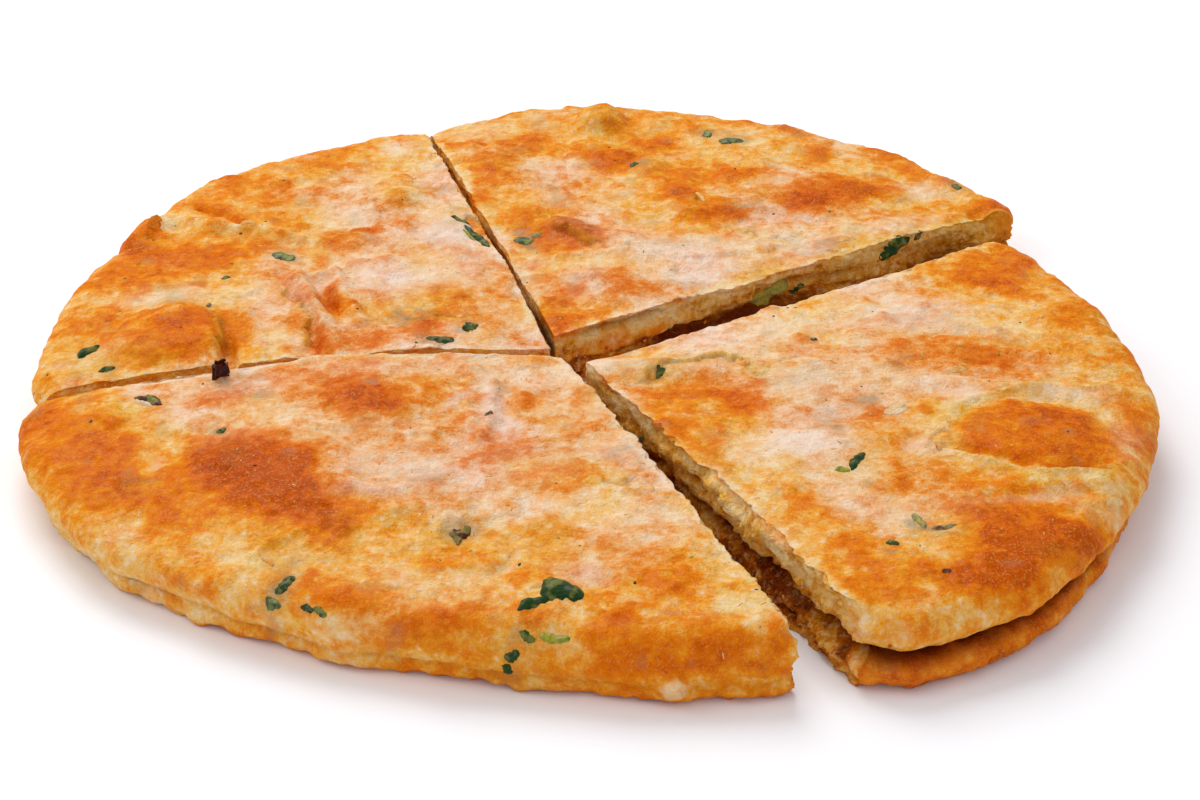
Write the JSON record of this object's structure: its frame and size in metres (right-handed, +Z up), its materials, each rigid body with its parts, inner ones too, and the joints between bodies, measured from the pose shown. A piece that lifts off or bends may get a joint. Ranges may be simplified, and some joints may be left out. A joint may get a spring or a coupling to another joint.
{
  "type": "green onion cake",
  "caption": "Round fried flatbread flecked with green onion, cut into wedges that still lie together, with browned crust, rounded folded rim and flaky cut faces.",
  "frame": {"origin": "the middle of the whole cut cake, on the surface it rests on", "axes": "+Z up through the thickness, -Y towards the two front quarters, +X towards the right-hand quarters"},
  "size_m": [0.1806, 0.1836, 0.016],
  "materials": {
    "fried_dough": "pan-fried wheat dough: golden to orange-brown crust with a thin film of oil, pale floury patches and pale crumb at the cuts",
    "onion_leaf": "chopped green onion leaf, cooked, dark green and slightly wet",
    "burnt_bit": "burnt bit of onion, near black with a dull shine"
  },
  "bodies": {
    "root": {"slice_front_left": "fried_dough", "slice_back_left": "fried_dough", "slice_back_right": "fried_dough", "slice_front_right": "fried_dough"}
  },
  "joints": []
}
